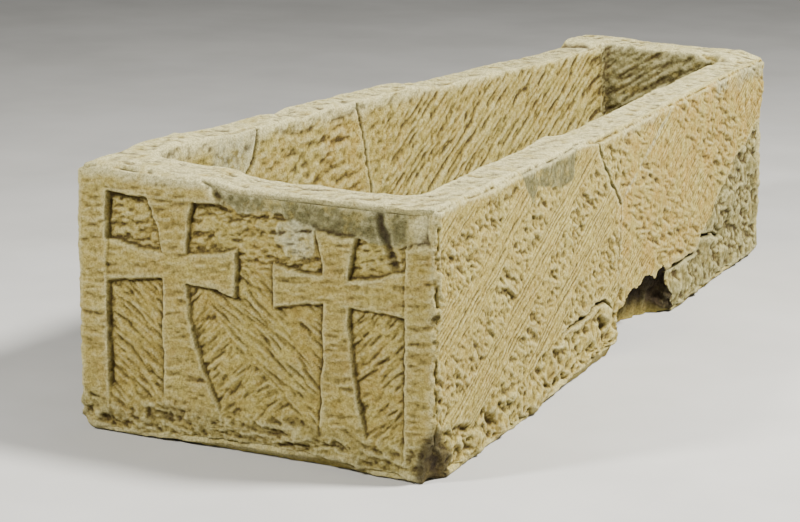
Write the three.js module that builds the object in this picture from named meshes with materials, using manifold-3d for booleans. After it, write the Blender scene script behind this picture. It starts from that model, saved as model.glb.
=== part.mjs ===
// A stone sarcophagus: one block of sandstone, hollowed into an open burial trough that tapers from head to foot.
// The head end carries two flared crosses inside a raised frame. The block is old, worn and broken in places.
// Units are millimetres. +Z is up, +Y runs from head to foot, +X is to the right as one faces the head end,
// and the origin is at the middle of the underside.
import * as THREE from "three";
import { mergeVertices } from "three/addons/utils/BufferGeometryUtils.js";
import Module from "manifold-3d";

// --- Driving dimensions -------------------------------------------------------------------------------------------
const LENGTH = 2066;
const HEAD_WIDTH = 762;
const FOOT_WIDTH = 482;
const FOOT_OFFSET = 6; // the foot end lies this far to the right of the head end's middle
const HEIGHT = 512; // the block before its rim wore down
const FOOT_LEAN = 16; // how far the top of the foot end stands back from its foot

const SIDE_WALL = 88;
const HEAD_WALL = 108;
const FOOT_WALL = 116;
const FLOOR = 92;
const CHAMBER_BATTER = 22; // how far each inner wall leans in by the time it meets the floor

const EDGE_RADIUS = 22; // worn upright and upper edges
const BASE_RADIUS = 11; // edges of the underside
const CHAMBER_RADIUS = 55; // upright inside corners
const FLOOR_RADIUS = 25; // where the inner walls meet the floor
const DRESSING = 2.5; // how uneven the hand-dressed faces are

const FRAME_LEFT = -311; // inner edges of the raised frame on the head end
const FRAME_RIGHT = 313;
const FRAME_TOP = 464;
const FIELD_FOOT = 62; // where the sunk field runs out above the underside
const FIELD_SINK = 11; // depth of the field behind the frame
const CROSS_SINK = 3; // depth of the crosses behind the frame
const CROSS_NECK = 52; // width of each arm where the arms meet

const GAP_DEPTH = 104; // how far the gap broken out of the right wall goes in
const SPALL_DEPTH = 8; // how far the split-off lower foot corner lies behind the dressed face
const CRACK_WIDTH = 5;
const CRACK_DEPTH = 26;

const HEAD_Y = -LENGTH / 2;
const FOOT_Y = LENGTH / 2;
const OVERSHOOT = 30; // how far a cutting shape runs past the faces it cuts

// --- Measuring along the block ------------------------------------------------------------------------------------
const lerp = THREE.MathUtils.lerp;
const smooth = THREE.MathUtils.smoothstep;
const fromHead = (distance) => HEAD_Y + distance;
const alongShare = (y) => (y - HEAD_Y) / LENGTH;
const middleX = (y) => FOOT_OFFSET * alongShare(y);
const halfWidth = (y) => lerp(HEAD_WIDTH, FOOT_WIDTH, alongShare(y)) / 2;
const rightFace = (y) => middleX(y) + halfWidth(y);
const leftFace = (y) => middleX(y) - halfWidth(y);

// A smooth curve through [position, value] pairs, level at each of them.
function profile(pairs) {
  return (at) => {
    const next = pairs.findIndex(([position]) => position > at);
    if (next === 0) return pairs[0][1];
    if (next < 0) return pairs[pairs.length - 1][1];
    const [from, a] = pairs[next - 1];
    const [to, b] = pairs[next];
    return lerp(a, b, smooth(at, from, to));
  };
}

// Heights of the worn rim: along each side by the distance from the head end, and across each end by x.
const rimRight = profile([[0, 508], [200, 503], [620, 499], [700, 503], [860, 488], [1840, 488], [2066, 480]]);
const rimLeft = profile([
  [0, 517], [110, 519], [170, 527], [300, 524], [410, 517], [580, 518], [640, 512], [700, 518], [1060, 515],
  [1210, 499], [1560, 495], [1720, 490], [1920, 491], [2066, 486],
]);
const rimHead = profile([[-381, 512], [-330, 522], [-120, 515], [-20, 500], [310, 500], [381, 508]]);
const rimFoot = profile([[-235, 508], [-140, 508], [-40, 500], [180, 500], [247, 484]]);

function rimHeight(x, y) {
  const distance = y - HEAD_Y;
  const sides = lerp(rimLeft(distance), rimRight(distance), smooth(x, -60, 60));
  const atHead = 1 - smooth(distance, HEAD_WALL + 15, HEAD_WALL + 95);
  const atFoot = smooth(distance, LENGTH - FOOT_WALL - 40, LENGTH - FOOT_WALL);
  return lerp(lerp(sides, rimHead(x), atHead), rimFoot(x), atFoot);
}

// The gentle unevenness of a face dressed by hand, by two distances along it.
const unevenness = (a, b) => DRESSING * Math.sin(a / 97 + 1.3 * Math.sin(b / 71)) * Math.cos(b / 83 + a / 211);

// --- Solids and meshes --------------------------------------------------------------------------------------------
const wasm = await Module();
wasm.setup();

function toSolid(geometry) {
  const bare = geometry.clone();
  bare.deleteAttribute("normal");
  bare.deleteAttribute("uv");
  const merged = mergeVertices(bare, 1e-3);
  return new wasm.Manifold(
    new wasm.Mesh({
      numProp: 3,
      vertProperties: new Float32Array(merged.attributes.position.array),
      triVerts: new Uint32Array(merged.index.array),
    }),
  );
}

function toGeometry(solid) {
  const mesh = solid.getMesh();
  const geometry = new THREE.BufferGeometry();
  geometry.setAttribute("position", new THREE.BufferAttribute(mesh.vertProperties, 3));
  geometry.setIndex(new THREE.BufferAttribute(mesh.triVerts, 1));
  geometry.computeVertexNormals();
  return geometry;
}

// Moves every vertex of a geometry by move(vector).
function moveVertices(geometry, move) {
  const points = geometry.getAttribute("position");
  const at = new THREE.Vector3();
  for (let i = 0; i < points.count; i++) {
    at.fromBufferAttribute(points, i);
    move(at);
    points.setXYZ(i, at.x, at.y, at.z);
  }
  return geometry;
}

// Grid lines from low to high: close together over the rounded edge at each end, and evenly spaced between.
function stations(low, high, lowRadius, highRadius, pitch) {
  const from = low + lowRadius;
  const inner = high - highRadius - from;
  const count = Math.round(inner / pitch);
  const middle = Array.from({ length: count + 1 }, (_, i) => from + (inner * i) / count);
  return [low, low + lowRadius / 3, ...middle, high - highRadius / 3, high];
}

// A box from low to high with rounded edges, its faces cut into a grid. Every vertex then goes through shape(vector,
// the place it had on the sharp box).
function roundedBlock({ low, high, radius, baseRadius, pitch, shape }) {
  const lines = [
    stations(low.x, high.x, radius, radius, pitch),
    stations(low.y, high.y, radius, radius, pitch),
    stations(low.z, high.z, baseRadius, radius, pitch),
  ];
  const line = (list, share) => list[Math.round((share + 0.5) * (list.length - 1))];
  const coreLow = new THREE.Vector3(low.x + radius, low.y + radius, low.z + baseRadius);
  const coreHigh = high.clone().subScalar(radius);
  const [columns, rows, layers] = lines.map((list) => list.length - 1);
  const geometry = moveVertices(new THREE.BoxGeometry(1, 1, 1, columns, rows, layers), (at) => {
    const sharp = new THREE.Vector3(line(lines[0], at.x), line(lines[1], at.y), line(lines[2], at.z));
    const core = sharp.clone().clamp(coreLow, coreHigh);
    const radii = new THREE.Vector3(radius, radius, sharp.z < core.z ? baseRadius : radius);
    const share = sharp.clone().sub(core).divide(radii);
    const reach = Math.max(Math.abs(share.x), Math.abs(share.y), Math.abs(share.z));
    if (reach > 0) share.setLength(reach);
    at.copy(share.multiply(radii).add(core));
    shape(at, sharp);
  });
  return toSolid(geometry);
}

// --- The block and its chamber ------------------------------------------------------------------------------------
function outerBlock() {
  const half = HEAD_WIDTH / 2;
  return roundedBlock({
    low: new THREE.Vector3(-half, HEAD_Y, 0),
    high: new THREE.Vector3(half, FOOT_Y, HEIGHT),
    radius: EDGE_RADIUS,
    baseRadius: BASE_RADIUS,
    pitch: 92,
    shape: (at, sharp) => {
      const foot = smooth(at.y, FOOT_Y - 60, FOOT_Y);
      at.x = middleX(at.y) + (at.x * halfWidth(at.y)) / half;
      at.z += (rimHeight(at.x, at.y) - HEIGHT) * smooth(at.z, HEIGHT * 0.5, HEIGHT);
      if (Math.abs(sharp.x) === half) at.x += unevenness(at.y, at.z) * smooth(at.z, 0, 100);
      at.y -= foot * FOOT_LEAN * smooth(at.z, 210, 420);
    },
  });
}

function chamber() {
  const half = HEAD_WIDTH / 2 - SIDE_WALL;
  return roundedBlock({
    low: new THREE.Vector3(-half, HEAD_Y + HEAD_WALL, FLOOR),
    high: new THREE.Vector3(half, FOOT_Y - FOOT_WALL, HEIGHT + CHAMBER_RADIUS + OVERSHOOT),
    radius: CHAMBER_RADIUS,
    baseRadius: FLOOR_RADIUS,
    pitch: 118,
    shape: (at, sharp) => {
      const lean = CHAMBER_BATTER * (1 - (at.z - FLOOR) / (HEIGHT - FLOOR));
      at.x = middleX(at.y) + (at.x * (halfWidth(at.y) - SIDE_WALL - lean)) / half;
      at.y *= 1 - lean / FOOT_Y;
      if (Math.abs(sharp.x) === half) at.x += unevenness(at.y + 300, at.z);
    },
  });
}

// --- The carved head end ------------------------------------------------------------------------------------------
// A prism across the head end: a shape drawn in x and z, between two depths behind the end face.
function headPrism(shape, from, to) {
  const geometry = new THREE.ExtrudeGeometry(shape, { depth: to - from, bevelEnabled: false, curveSegments: 6 });
  geometry.rotateX(Math.PI / 2);
  geometry.translate(0, HEAD_Y + to, 0);
  return toSolid(geometry);
}

// A cross with four flared arms. x and z are where the arms meet. Each arm has its reach, which is the coordinate of
// its far end, and the middle and half width of that end.
function crossShape({ x, z, top, right, foot, left }) {
  const neck = CROSS_NECK / 2;
  const bend = 0.45; // share of an arm that stays narrow before it flares
  const shape = new THREE.Shape();
  shape.moveTo(x - neck, z + neck);
  shape.quadraticCurveTo(x - neck, lerp(z, top.reach, bend), top.middle - top.half, top.reach);
  shape.lineTo(top.middle + top.half, top.reach);
  shape.quadraticCurveTo(x + neck, lerp(z, top.reach, bend), x + neck, z + neck);
  shape.quadraticCurveTo(lerp(x, right.reach, bend), z + neck, right.reach, right.middle + right.half);
  shape.lineTo(right.reach, right.middle - right.half);
  shape.quadraticCurveTo(lerp(x, right.reach, bend), z - neck, x + neck, z - neck);
  shape.quadraticCurveTo(x + neck, lerp(z, foot.reach, bend), foot.middle + foot.half, foot.reach);
  shape.lineTo(foot.middle - foot.half, foot.reach);
  shape.quadraticCurveTo(x - neck, lerp(z, foot.reach, bend), x - neck, z - neck);
  shape.quadraticCurveTo(lerp(x, left.reach, bend), z - neck, left.reach, left.middle - left.half);
  shape.lineTo(left.reach, left.middle + left.half);
  shape.quadraticCurveTo(lerp(x, left.reach, bend), z + neck, x - neck, z + neck);
  return shape;
}

const leftCross = {
  x: -165,
  z: 338,
  top: { reach: FRAME_TOP + 2, middle: -176, half: 52 },
  right: { reach: -33, middle: 341, half: 46 },
  foot: { reach: 80, middle: -133, half: 63 },
  left: { reach: FRAME_LEFT - 2, middle: 338, half: 41 },
};
const rightCross = {
  x: 174,
  z: 332,
  top: { reach: 460, middle: 175, half: 49 },
  right: { reach: FRAME_RIGHT + 2, middle: 344, half: 44 },
  foot: { reach: 78, middle: 187, half: 47 },
  left: { reach: 45, middle: 328, half: 42 },
};

// The outline inside the frame. At the right of TOP_BAR_END the frame's top bar is broken away to the rim.
const TOP_BAR_END = -118;
function fieldShape() {
  const shape = new THREE.Shape();
  shape.moveTo(FRAME_LEFT, FIELD_FOOT + 38);
  shape.lineTo(FRAME_LEFT, FRAME_TOP);
  shape.lineTo(TOP_BAR_END, FRAME_TOP);
  shape.lineTo(TOP_BAR_END + 22, FRAME_TOP + 14);
  shape.lineTo(FRAME_RIGHT - 100, FRAME_TOP + 14);
  shape.lineTo(FRAME_RIGHT, FRAME_TOP - 20);
  shape.lineTo(FRAME_RIGHT, FIELD_FOOT);
  shape.lineTo(-54, FIELD_FOOT + 10);
  return shape;
}

function headCarving() {
  let field = headPrism(fieldShape(), -OVERSHOOT, FIELD_SINK);
  for (const cross of [leftCross, rightCross]) {
    field = field.subtract(headPrism(crossShape(cross), CROSS_SINK, FIELD_SINK + OVERSHOOT));
  }
  return field;
}

// --- Breaks and wear ----------------------------------------------------------------------------------------------
// A prism cut into the right face: an outline in distance from the head end and z, taken to a depth behind the face.
// narrow(vertex, share of the depth) may draw each vertex in.
function sidePrism(outline, depth, narrow = () => {}) {
  const shape = new THREE.Shape(outline.map(([distance, z]) => new THREE.Vector2(fromHead(distance), z)));
  const options = { depth: depth + OVERSHOOT, bevelEnabled: false, steps: 2 };
  const geometry = moveVertices(new THREE.ExtrudeGeometry(shape, options), (at) => {
    const inward = depth - at.z;
    at.set(0, at.x, at.y);
    narrow(at, Math.max(0, inward / depth));
    at.x = rightFace(at.y) - inward;
  });
  return toSolid(geometry);
}

// The gap broken out of the foot of the right wall. It narrows inwards, and its far side slants across the base.
function baseGap() {
  const near = fromHead(1000);
  const outline = [
    [990, -OVERSHOOT], [1440, -OVERSHOOT], [1392, 20], [1352, 66], [1322, 98], [1262, 119], [1165, 114],
    [1062, 123], [972, 121], [960, 92], [982, 48],
  ];
  return sidePrism(outline, GAP_DEPTH, (at, share) => {
    at.y -= Math.max(0, at.y - near) * 0.42 * share;
    at.z -= Math.max(0, at.z) * 0.38 * share;
  });
}

// The lower corner towards the foot, where the dressed face has split off and left a rougher, sunken surface.
function footSpall() {
  const outline = [
    [1404, -OVERSHOOT], [2200, -OVERSHOOT], [2200, 338], [2010, 326], [1930, 311], [1824, 280], [1723, 238],
    [1650, 180], [1608, 128], [1488, 106], [1390, 92],
  ];
  return sidePrism(outline, SPALL_DEPTH);
}

// The worn lower edge of the right side, which rises towards the gap.
function lowerEdgeWear() {
  const outline = [[480, -OVERSHOOT], [1010, -OVERSHOOT], [1000, 30], [900, 22], [760, 20], [620, 10]];
  return sidePrism(outline, 70, (at, share) => {
    at.z -= Math.max(0, at.z) * share;
  });
}

// A crack open at the surface: a slot along a bent line, which narrows to each end.
function crack(line) {
  const last = line.length - 1;
  const half = (i) => (CRACK_WIDTH / 2) * (i === 0 || i === last ? 0.3 : 1);
  const near = line.map(([distance, z], i) => [distance - half(i), z]);
  const far = line.map(([distance, z], i) => [distance + half(i), z]);
  return sidePrism([...near, ...far.reverse()], CRACK_DEPTH);
}

// A faceted lump that bites a piece out of an edge.
function bite({ at, size, turn = 0 }) {
  const geometry = new THREE.IcosahedronGeometry(1, 1);
  geometry.scale(...size);
  geometry.rotateZ(turn);
  geometry.translate(...at);
  return toSolid(geometry);
}

const notchY = fromHead(640);
const footEdgeY = fromHead(2062);
const lowerLeftY = fromHead(1760);
const bites = [
  { at: [390, HEAD_Y, -6], size: [40, 74, 92], turn: 0.35 }, // lower right corner of the head end
  { at: [-398, HEAD_Y, -14], size: [44, 40, 48] }, // lower left corner of the head end
  { at: [-404, HEAD_Y - 12, 526], size: [52, 44, 40] }, // upper left corner of the head end
  { at: [0, HEAD_Y - 8, -9], size: [210, 22, 20] }, // lower edge of the head end
  { at: [-20, HEAD_Y - 12, 508], size: [105, 24, 46], turn: 0.03 }, // broken top bar of the frame
  { at: [112, HEAD_Y - 14, 500], size: [96, 25, 58], turn: -0.03 },
  { at: [236, HEAD_Y - 14, 492], size: [86, 24, 62], turn: 0.04 },
  { at: [392, HEAD_Y - 10, 430], size: [22, 20, 20] }, // pits down the right upright edge
  { at: [392, HEAD_Y - 8, 270], size: [22, 20, 30], turn: 0.3 },
  { at: [leftFace(notchY), notchY, 526], size: [150, 16, 22] }, // notch where the left wall is cracked
  { at: [leftFace(lowerLeftY) - 14, lowerLeftY, -8], size: [34, 190, 30] }, // lower edge of the left side
  { at: [rightFace(footEdgeY) + 20, footEdgeY, 350], size: [34, 44, 40], turn: 0.4 }, // right upright edge of the foot
  { at: [-60, FOOT_Y + 10, 2], size: [120, 26, 30] }, // lower edge of the foot end
];

// --- The sarcophagus ----------------------------------------------------------------------------------------------
function sarcophagus() {
  const cuts = [
    chamber(),
    headCarving(),
    baseGap(),
    footSpall(),
    lowerEdgeWear(),
    crack([[828, 500], [836, 466], [866, 428], [912, 392], [981, 324]]),
    ...bites.map(bite),
  ];
  return toGeometry(cuts.reduce((stone, cut) => stone.subtract(cut), outerBlock()));
}

const sandstone = new THREE.MeshStandardMaterial({ color: 0xb8a67c, roughness: 0.94, metalness: 0 });
const trough = new THREE.Mesh(sarcophagus(), sandstone);
trough.name = "sarcophagus_trough";

const part = new THREE.Group();
part.add(trough);
export default part;
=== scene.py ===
"""The looks of a stone sarcophagus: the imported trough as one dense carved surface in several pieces.

Lengths are millimetres in the trough's own frame until a mesh is made. +Y runs from the head end to the
foot end. Every wall is a grid: columns run round the trough and rows run from the underside up the outer
face, over the rim and down into the chamber. Height fields for dressing, carving, cracks and breaks then
move the grid's points.
"""
import math

import bpy
import numpy as np
from mathutils import Matrix, Vector
from mathutils.geometry import delaunay_2d_cdt


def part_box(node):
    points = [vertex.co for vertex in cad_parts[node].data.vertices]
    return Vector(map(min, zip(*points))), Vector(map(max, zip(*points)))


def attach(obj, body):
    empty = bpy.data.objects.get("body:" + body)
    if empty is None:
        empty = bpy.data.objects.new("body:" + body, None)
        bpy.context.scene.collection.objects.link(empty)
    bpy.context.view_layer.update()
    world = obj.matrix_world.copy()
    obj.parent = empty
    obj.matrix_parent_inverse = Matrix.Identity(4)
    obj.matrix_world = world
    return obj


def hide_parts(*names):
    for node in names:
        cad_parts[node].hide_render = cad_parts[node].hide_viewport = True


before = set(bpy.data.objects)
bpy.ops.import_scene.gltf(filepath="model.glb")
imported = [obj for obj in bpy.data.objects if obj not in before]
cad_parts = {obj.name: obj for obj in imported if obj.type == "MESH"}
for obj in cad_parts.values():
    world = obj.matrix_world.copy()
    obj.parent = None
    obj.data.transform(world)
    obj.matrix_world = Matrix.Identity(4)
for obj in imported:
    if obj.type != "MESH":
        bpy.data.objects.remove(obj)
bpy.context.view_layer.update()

NODE = "sarcophagus_trough"
METRE = 0.001  # one millimetre

# --- Sizes of the trough ----------------------------------------------
LOW, HIGH = (np.array(corner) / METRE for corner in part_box(NODE))
HEAD_Y = LOW[1]
FOOT_Y = HIGH[1]
LENGTH = FOOT_Y - HEAD_Y
HALF_HEAD = 381.0
HALF_FOOT = 241.0
FOOT_OFFSET = 6.0  # the foot end lies this far to the right of the head end's middle
HEIGHT = 512.0
FOOT_LEAN = 16.0
SIDE_WALL = 88.0
HEAD_WALL = 108.0
FOOT_WALL = 116.0
FLOOR = 92.0
BATTER = 22.0
EDGE_RADIUS = 15.0
BASE_RADIUS = 11.0
INNER_RADIUS = 55.0
INNER_EDGE = 9.0  # worn edge between the rim and the chamber
FLOOR_RADIUS = 25.0

# --- Sizes of the carving ---------------------------------------------
FRAME_LEFT = -311.0
FRAME_RIGHT = 313.0
FRAME_TOP = 464.0
FIELD_SINK = 11.0
CROSS_SINK = 3.0
NECK = 26.0  # half the width of a cross's arm where the arms meet
SPALL_SINK = 8.0
RELIEF_EDGE = 2.4  # half the width of the slope round a cross or the frame
GROOVE = [(256, 520), (261, 467), (271, 440), (287, 394)]
GROOVE_DEPTH = 6.0
MORTAR_AT = (98, 416)
MORTAR_SIZE = (44, 38)
STREAK = [(196, 498), (250, 484)]

# --- Depths of the dressing and the cracks ----------------------------
HEAD_CUT = 5.2
RIGHT_CUT = 4.4
PLAIN_CUT = 3.6
CHAMBER_CUT = 4.2
CRACK_DEPTH = 18.0
CHAMBER_CRACK_DEPTH = 13.0

# --- The lump that leaves the gap in the foot of the right wall -------
GAP_ALONG = 1186.0  # how far its middle lies from the head end
GAP_OUT = 90.0  # how far its middle lies outside the face
GAP_UP = -64.0
GAP_DEPTH = 106.0
GAP_HALF_LENGTH = 212.0
GAP_HALF_HEIGHT = 184.0

# The first mark is painted shade in cracks, the groove and the gap; hollow is painted shade in hollows, and
# brown is partly painted shade.
MARKS = ("crevice_shade", "hollow", "crest", "grey", "stain", "pale", "lit", "brown")

# --- How fine the surface is ------------------------------------------
COARSER = 1.0
HEAD_STEP = 2.5
RIGHT_STEP = 3.2
FOOT_STEP = 4.4
LEFT_STEP = 4.9
NEARER = 0.35  # how much closer together the right side's columns are at the head end than at its middle
FACE_ROW = 2.8
RIM_ROW = 3.6
INNER_ROW = 4.6
CAP_STEP = 11.0
NEAR_HALF = 0.46  # share of the right side's length in its head half


# --- Curves and noise -------------------------------------------------
def smooth(value, low, high):
    share = np.clip((value - low) / (high - low), 0, 1)
    return share * share * (3 - 2 * share)


def lerp(a, b, share):
    return a + (b - a) * share


def profile(at, pairs):
    """A curve through (position, value) pairs, level at each of them."""
    places, values = np.array(pairs, dtype=float).T
    index = np.clip(np.searchsorted(places, at, side="right") - 1, 0, len(places) - 2)
    return lerp(values[index], values[index + 1], smooth(at, places[index], places[index + 1]))


def bent(at, pairs):
    """Straight stretches through (position, value) pairs."""
    return np.interp(at, *zip(*pairs))


def hashed(*keys):
    """A repeatable number from 0 to 1 for each set of whole-number keys."""
    total = 0.0
    for index, key in enumerate(keys):
        total = total + np.asarray(key, dtype=float) * (12.9898 + 65.2443 * index)
    return np.abs(np.sin(total) * 43758.5453) % 1.0


def noise(points, size, seed=0):
    """Smooth noise from -1 to 1 with lumps of about the given size."""
    place = points / size + seed * 7.31
    cell = np.floor(place)
    share = place - cell
    share = share * share * (3 - 2 * share)
    total = 0.0
    for corner in np.ndindex(2, 2, 2):
        value = hashed(*(cell[..., axis] + corner[axis] for axis in range(3)))
        for axis in range(3):
            value = value * (share[..., axis] if corner[axis] else 1 - share[..., axis])
        total = total + value
    return total * 2 - 1


def fractal(points, size, octaves, seed=0):
    total = 0.0
    for octave in range(octaves):
        total = total + noise(points, size * 0.5**octave, seed + octave * 3) * 0.5**octave
    return total


def plane(a, b):
    return np.stack([a, b, np.zeros_like(a)], axis=-1)


# --- Tool marks, pits and lines, by two distances on a face -----------
def turned(a, b, angle):
    turn = math.radians(angle)
    return a * math.cos(turn) + b * math.sin(turn), b * math.cos(turn) - a * math.sin(turn)


def furrows(a, b, angle, pitch, seed):
    """Long comb marks side by side: each drops sharply on one side and fades in and out."""
    along, across = turned(a, b, angle)
    across = across + 0.5 * pitch * noise(plane(along * 0.25, across), 3.5 * pitch, seed)
    row = np.floor(across / pitch)
    width = across / pitch - row
    strength = 0.55 + 0.75 * noise(plane(along, row * 77.0), 70, seed + 1)
    return -np.clip(strength, 0, 1) * np.minimum(width / 0.3, (1 - width) / 0.7)


def pecks(a, b, angle, length, width, seed, share=0.85):
    """Separate chisel marks that lie about one way: 0 between them and -1 in the deepest."""
    along, across = turned(a, b, angle)
    spot = plane(along, across)
    along = along + 0.25 * length * noise(spot, 2.2 * length, seed)
    across = across + 0.45 * width * noise(spot, 2.2 * length, seed + 1)
    column = np.floor(along / length)
    row = np.floor(across / width)
    deepest = np.zeros_like(a)
    for shift_along in (-1, 0, 1):
        for shift_across in (-1, 0, 1):
            i = column + shift_along
            j = row + shift_across
            out = along - (i + hashed(i, j, seed)) * length
            off = across - (j + hashed(i, j, seed + 1)) * width
            off = off - out * 0.35 * (hashed(i, j, seed + 2) - 0.5)
            reach = length * (0.25 + 0.4 * hashed(i, j, seed + 3))
            half = width * (0.22 + 0.3 * hashed(i, j, seed + 4))
            bowl = np.clip(1 - (out / reach) ** 2 - (off / half) ** 2, 0, 1)
            strength = (0.35 + 0.65 * hashed(i, j, seed + 5)) * (hashed(i, j, seed + 6) < share)
            deepest = np.minimum(deepest, -bowl * strength * (0.75 - 0.25 * out / reach))
    return deepest


def ragged(a, b, angle, stretch, size, seed):
    """Splintered stone whose dents lie about one way: 0 on what stands up, about -1 in them."""
    along, across = turned(a, b, angle)
    rough = fractal(plane(along / stretch, across), size, 4, seed)
    return -np.clip(1.5 * rough + 0.15, 0, 1.2)


def pits(a, b, size, seed, share=0.6):
    """Scattered bowls: 0 outside them and -1 at the bottom of the deepest."""
    deepest = np.zeros_like(a)
    column = np.floor(a / size)
    row = np.floor(b / size)
    for shift_a in (-1, 0, 1):
        for shift_b in (-1, 0, 1):
            i = column + shift_a
            j = row + shift_b
            middle_a = (i + hashed(i, j, seed)) * size
            middle_b = (j + hashed(i, j, seed + 1)) * size
            radius = size * (0.22 + 0.42 * hashed(i, j, seed + 2))
            gap = ((a - middle_a) ** 2 + (b - middle_b) ** 2) / radius**2
            there = hashed(i, j, seed + 3) < share
            deepest = np.minimum(deepest, -np.clip(1 - gap, 0, 1) * there)
    return deepest


def to_line(a, b, line):
    """Distance to a bent line given by its corners."""
    nearest = np.full(a.shape, np.inf)
    for (a0, b0), (a1, b1) in zip(line, line[1:]):
        run_a = a1 - a0
        run_b = b1 - b0
        share = np.clip(((a - a0) * run_a + (b - b0) * run_b) / (run_a**2 + run_b**2), 0, 1)
        nearest = np.minimum(nearest, np.hypot(a - a0 - share * run_a, b - b0 - share * run_b))
    return nearest


HEAD, RIGHT, FOOT, LEFT = range(4)


# --- The block's plan and rim -----------------------------------------
def along_share(y):
    return (y - HEAD_Y) / LENGTH


def middle_x(y):
    return FOOT_OFFSET * along_share(y)


def half_width(y):
    return lerp(HALF_HEAD, HALF_FOOT, along_share(y))


def rim_height(x, y):
    distance = y - HEAD_Y
    right = profile(distance, [
        (0, 508), (200, 503), (620, 499), (700, 503), (860, 488), (1840, 488), (2066, 480),
    ])
    left = profile(distance, [
        (0, 517), (110, 519), (170, 527), (300, 524), (410, 517), (580, 518), (640, 512), (700, 518),
        (1060, 515), (1210, 499), (1560, 495), (1720, 490), (1920, 491), (2066, 486),
    ])
    head = profile(x, [(-381, 512), (-330, 522), (-120, 515), (-20, 500), (310, 500), (381, 508)])
    foot = profile(x, [(-235, 508), (-140, 508), (-40, 500), (180, 500), (247, 484)])
    sides = lerp(left, right, smooth(x, -60, 60))
    at_head = 1 - smooth(distance, HEAD_WALL + 15, HEAD_WALL + 95)
    at_foot = smooth(distance, LENGTH - FOOT_WALL - 40, LENGTH - FOOT_WALL)
    return lerp(lerp(sides, head, at_head), foot, at_foot)


class Loop:
    """A rounded rectangle in plan, with the same number of columns on each side as every other loop.

    centre is where each column's corner arc is drawn from, and out is the way the column faces.
    """

    def __init__(self, half_x, low_y, high_y, radius, counts):
        x = half_x - radius
        corners = [(-x, low_y + radius), (x, low_y + radius), (x, high_y - radius), (-x, high_y - radius)]
        centre, out, side, run = [], [], [], []
        for index, count in enumerate(counts):
            start = np.array(corners[index])
            way = np.array(corners[(index + 1) % 4]) - start
            straight = np.hypot(*way)
            tangent = way / straight
            normal = np.array([tangent[1], -tangent[0]])
            arc = radius * math.pi / 4
            share = np.linspace(0, 1, count, endpoint=False)
            if index == RIGHT:
                share = share * (1 - NEARER) + share**2 * NEARER
            place = share * (straight + 2 * arc) - arc
            on_straight = np.clip(place, 0, straight)
            angle = (place - on_straight) / radius
            centre.append(start + on_straight[:, None] * tangent)
            out.append(np.cos(angle)[:, None] * normal + np.sin(angle)[:, None] * tangent)
            side.append(np.full(count, index))
            run.append(place)
        self.centre = np.concatenate(centre)
        self.out = np.concatenate(out)
        self.side = np.concatenate(side)
        self.run = np.concatenate(run)
        self.radius = radius

    def at(self, inset):
        return self.centre + (self.radius - inset) * self.out


def columns():
    """Number of columns on the head, right, foot and left sides."""
    sizes = [2 * HALF_HEAD / HEAD_STEP, LENGTH / RIGHT_STEP, 2 * HALF_FOOT / FOOT_STEP, LENGTH / LEFT_STEP]
    return [int(size / COARSER) for size in sizes]


def rows(length, step):
    return max(3, int(length / (step * COARSER)))


COUNTS = columns()
OUTER = Loop(HALF_HEAD, HEAD_Y, FOOT_Y, EDGE_RADIUS, COUNTS)
INNER = Loop(HALF_HEAD - SIDE_WALL, HEAD_Y + HEAD_WALL, FOOT_Y - FOOT_WALL, INNER_RADIUS, COUNTS)
SIDE = OUTER.side


# --- Rows of the grid -------------------------------------------------
def outer_row(inset, z):
    """One row of the outer face, before its dressing."""
    x, y = OUTER.at(inset).T
    x = middle_x(y) + x * half_width(y) / HALF_HEAD
    z = z + (rim_height(x, y) - HEIGHT) * smooth(z, HEIGHT * 0.5, HEIGHT)
    lean = FOOT_LEAN * smooth(y, FOOT_Y - 60, FOOT_Y) * smooth(z, 210, 420)
    return np.stack([x, y - lean, z], axis=-1)


def inner_row(inset, share):
    """One row of the chamber's wall: share is 0 at the rim and 1 on the floor, before its fillets."""
    x, y = INNER.at(inset).T
    top = rim_height(middle_x(y) + x, y)
    z = lerp(top, FLOOR, share)
    lean = BATTER * (1 - (z - FLOOR) / (HEIGHT - FLOOR))
    x = middle_x(y) + x * (half_width(y) - SIDE_WALL - lean) / (HALF_HEAD - SIDE_WALL)
    return np.stack([x, y * (1 - lean / FOOT_Y), z], axis=-1)


def outer_rows():
    base = [
        outer_row(BASE_RADIUS * (1 - math.sin(turn)), BASE_RADIUS * (1 - math.cos(turn)))
        for turn in np.linspace(0, math.pi / 2, rows(17, 4), endpoint=False)
    ]
    straight = rows(HEIGHT - EDGE_RADIUS - BASE_RADIUS, FACE_ROW)
    heights = np.linspace(BASE_RADIUS, HEIGHT - EDGE_RADIUS, straight, endpoint=False)
    face = [outer_row(0, z) for z in heights]
    edge = [
        outer_row(EDGE_RADIUS * (1 - math.cos(turn)), HEIGHT - EDGE_RADIUS * (1 - math.sin(turn)))
        for turn in np.linspace(0, math.pi / 2, rows(34, 3.4))
    ]
    return np.array(base + face + edge)


def rim_rows(outside, inside):
    shares = np.linspace(0, 1, rows(SIDE_WALL - EDGE_RADIUS, RIM_ROW) + 2)[1:-1]
    made = np.array([lerp(outside, inside, share) for share in shares])
    made[..., 2] = rim_height(made[..., 0], made[..., 1])
    return made


def inner_rows():
    depth = HEIGHT - FLOOR
    edge = [
        inner_row(-INNER_EDGE * (1 - math.sin(turn)), INNER_EDGE * (1 - math.cos(turn)) / depth)
        for turn in np.linspace(0, math.pi / 2, 4, endpoint=False)
    ]
    first = INNER_EDGE / depth
    last = 1 - FLOOR_RADIUS / depth
    count = rows(depth * (last - first), INNER_ROW)
    wall = [inner_row(0, share) for share in np.linspace(first, last, count)]
    fillet = [
        inner_row(FLOOR_RADIUS * (1 - math.cos(turn)), 1 - FLOOR_RADIUS * (1 - math.sin(turn)) / depth)
        for turn in np.linspace(0, math.pi / 2, rows(39, 6))[1:]
    ]
    return np.array(edge + wall + fillet)


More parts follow.
